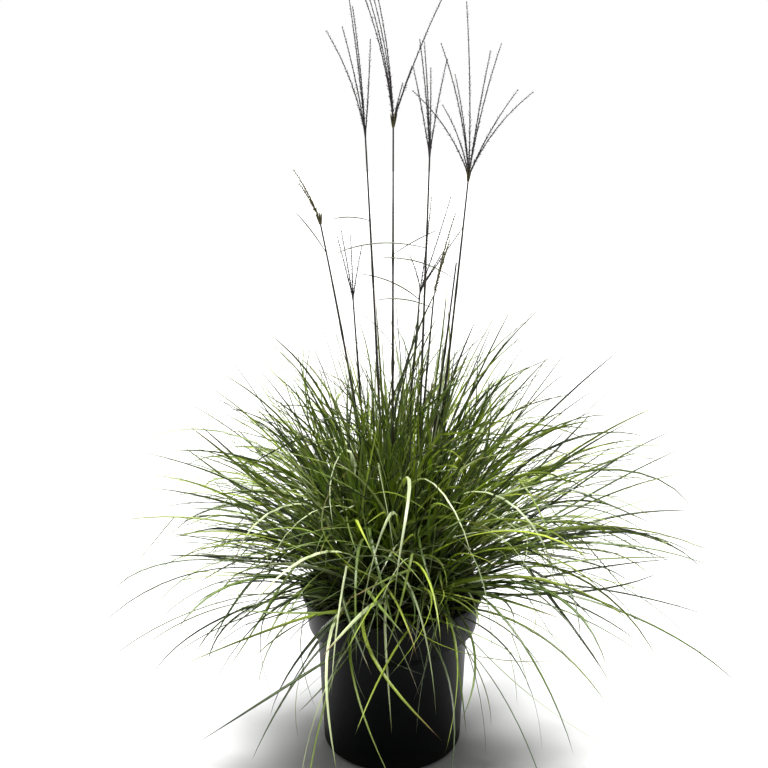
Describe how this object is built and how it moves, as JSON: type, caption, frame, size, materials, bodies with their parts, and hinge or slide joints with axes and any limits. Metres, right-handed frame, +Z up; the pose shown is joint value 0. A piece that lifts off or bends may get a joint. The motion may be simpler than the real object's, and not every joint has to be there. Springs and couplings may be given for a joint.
{
  "type": "potted ornamental grass clump",
  "caption": "Fountain-shaped clump of fine arching grass leaves with tall culms and fan-shaped flower panicles, growing in a black plastic nursery pot.",
  "frame": {"origin": "centre of the pot's underside, on the surface that the pot stands on", "axes": "+Z up along the pot's axis, +X to the right and +Y to the back of the clump as it is usually faced"},
  "size_m": [0.9844, 0.987, 1.2406],
  "materials": {
    "pot_plastic": "satin",
    "growing_medium": "matte",
    "crown": "matte",
    "culm": "satin",
    "panicle": "matte",
    "flag_leaf": "satin",
    "leaf": "satin"
  },
  "bodies": {
    "root": {"pot": "pot_plastic", "growing_medium": "growing_medium", "crown": "crown", "culm_01": "culm", "culm_02": "culm", "culm_03": "culm", "culm_04": "culm", "culm_05": "culm", "culm_06": "culm", "culm_07": "culm", "culm_08": "culm", "culm_09": "culm", "panicle_01": "panicle", "panicle_02": "panicle", "panicle_03": "panicle", "panicle_04": "panicle", "panicle_05": "panicle", "panicle_06": "panicle", "panicle_07": "panicle", "panicle_08": "panicle", "flag_leaf_01": "flag_leaf", "flag_leaf_02": "flag_leaf", "flag_leaf_03": "flag_leaf", "flag_leaf_04": "flag_leaf", "flag_leaf_05": "flag_leaf", "flag_leaf_06": "flag_leaf", "flag_leaf_07": "flag_leaf", "flag_leaf_08": "flag_leaf", "leaf_tuft_inner_1": "leaf", "leaf_tuft_inner_2": "leaf", "leaf_tuft_inner_3": "leaf", "leaf_tuft_inner_4": "leaf", "leaf_tuft_inner_5": "leaf", "leaf_tuft_inner_6": "leaf", "leaf_tuft_middle_1": "leaf", "leaf_tuft_middle_2": "leaf", "leaf_tuft_middle_3": "leaf", "leaf_tuft_middle_4": "leaf", "leaf_tuft_middle_5": "leaf", "leaf_tuft_middle_6": "leaf", "leaf_tuft_middle_7": "leaf", "leaf_tuft_middle_8": "leaf", "leaf_tuft_outer_1": "leaf", "leaf_tuft_outer_2": "leaf", "leaf_tuft_outer_3": "leaf", "leaf_tuft_outer_4": "leaf", "leaf_tuft_outer_5": "leaf", "leaf_tuft_outer_6": "leaf", "leaf_tuft_outer_7": "leaf", "leaf_tuft_outer_8": "leaf", "leaf_tuft_outer_9": "leaf", "leaf_tuft_skirt_1": "leaf", "leaf_tuft_skirt_2": "leaf", "leaf_tuft_skirt_3": "leaf", "leaf_tuft_skirt_4": "leaf", "leaf_tuft_skirt_5": "leaf", "leaf_tuft_skirt_6": "leaf", "leaf_tuft_skirt_7": "leaf"}
  },
  "joints": []
}
